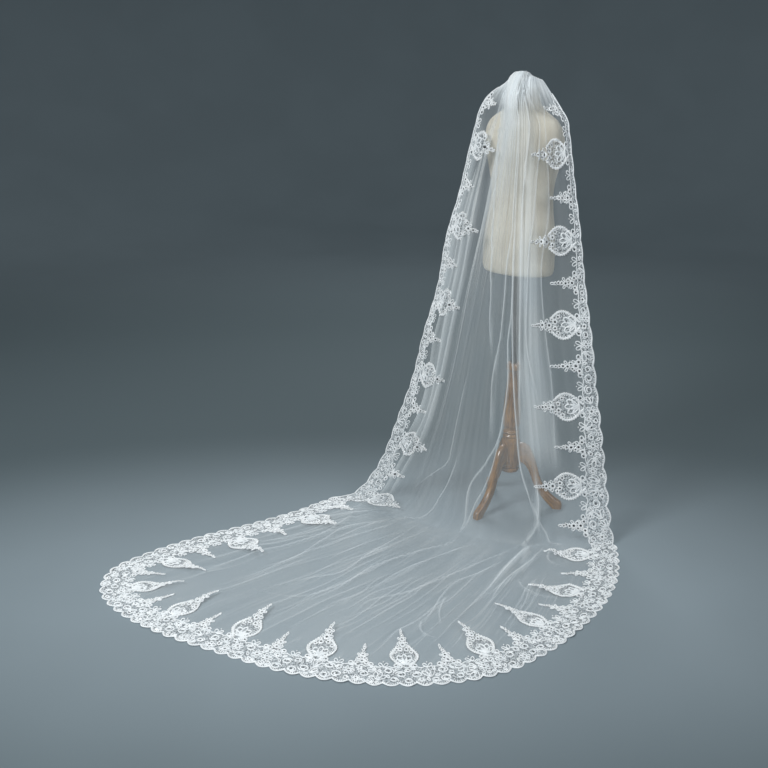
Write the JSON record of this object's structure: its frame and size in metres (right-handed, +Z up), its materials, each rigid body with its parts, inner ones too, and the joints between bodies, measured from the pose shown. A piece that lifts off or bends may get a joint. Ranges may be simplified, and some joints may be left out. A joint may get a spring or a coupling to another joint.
{
  "type": "bridal veil on a dress form with a tripod stand",
  "caption": "Long sheer bridal veil gathered on a comb, edged with scalloped floral lace, hanging from a dress form on a turned wooden tripod and trailing in a rounded train.",
  "frame": {"origin": "centre of the base of the whole object's box, on the floor", "axes": "+Z up, +Y the way the form faces, so the train trails towards -Y and +X is the wearer's right"},
  "size_m": [1.3678, 1.63, 1.6077],
  "materials": {
    "tulle": "fine sheer net, soft white",
    "lace": "corded lace with sequins, bright white",
    "comb": "clear gloss",
    "linen": "cream cloth cover",
    "wood": "varnished mid brown",
    "steel": "dark satin"
  },
  "bodies": {
    "root": {"tulle_left_fall": "tulle", "tulle_back_fall": "tulle", "tulle_right_fall": "tulle", "tulle_train": "tulle", "lace_left_edge": "lace", "lace_train_edge": "lace", "lace_right_edge": "lace", "veil_comb": "comb", "form_torso": "linen", "form_neck_cap": "wood", "stand_pole": "steel", "stand_post": "wood", "stand_hub": "wood", "stand_leg_1": "wood", "stand_leg_2": "wood", "stand_leg_3": "wood"}
  },
  "joints": []
}
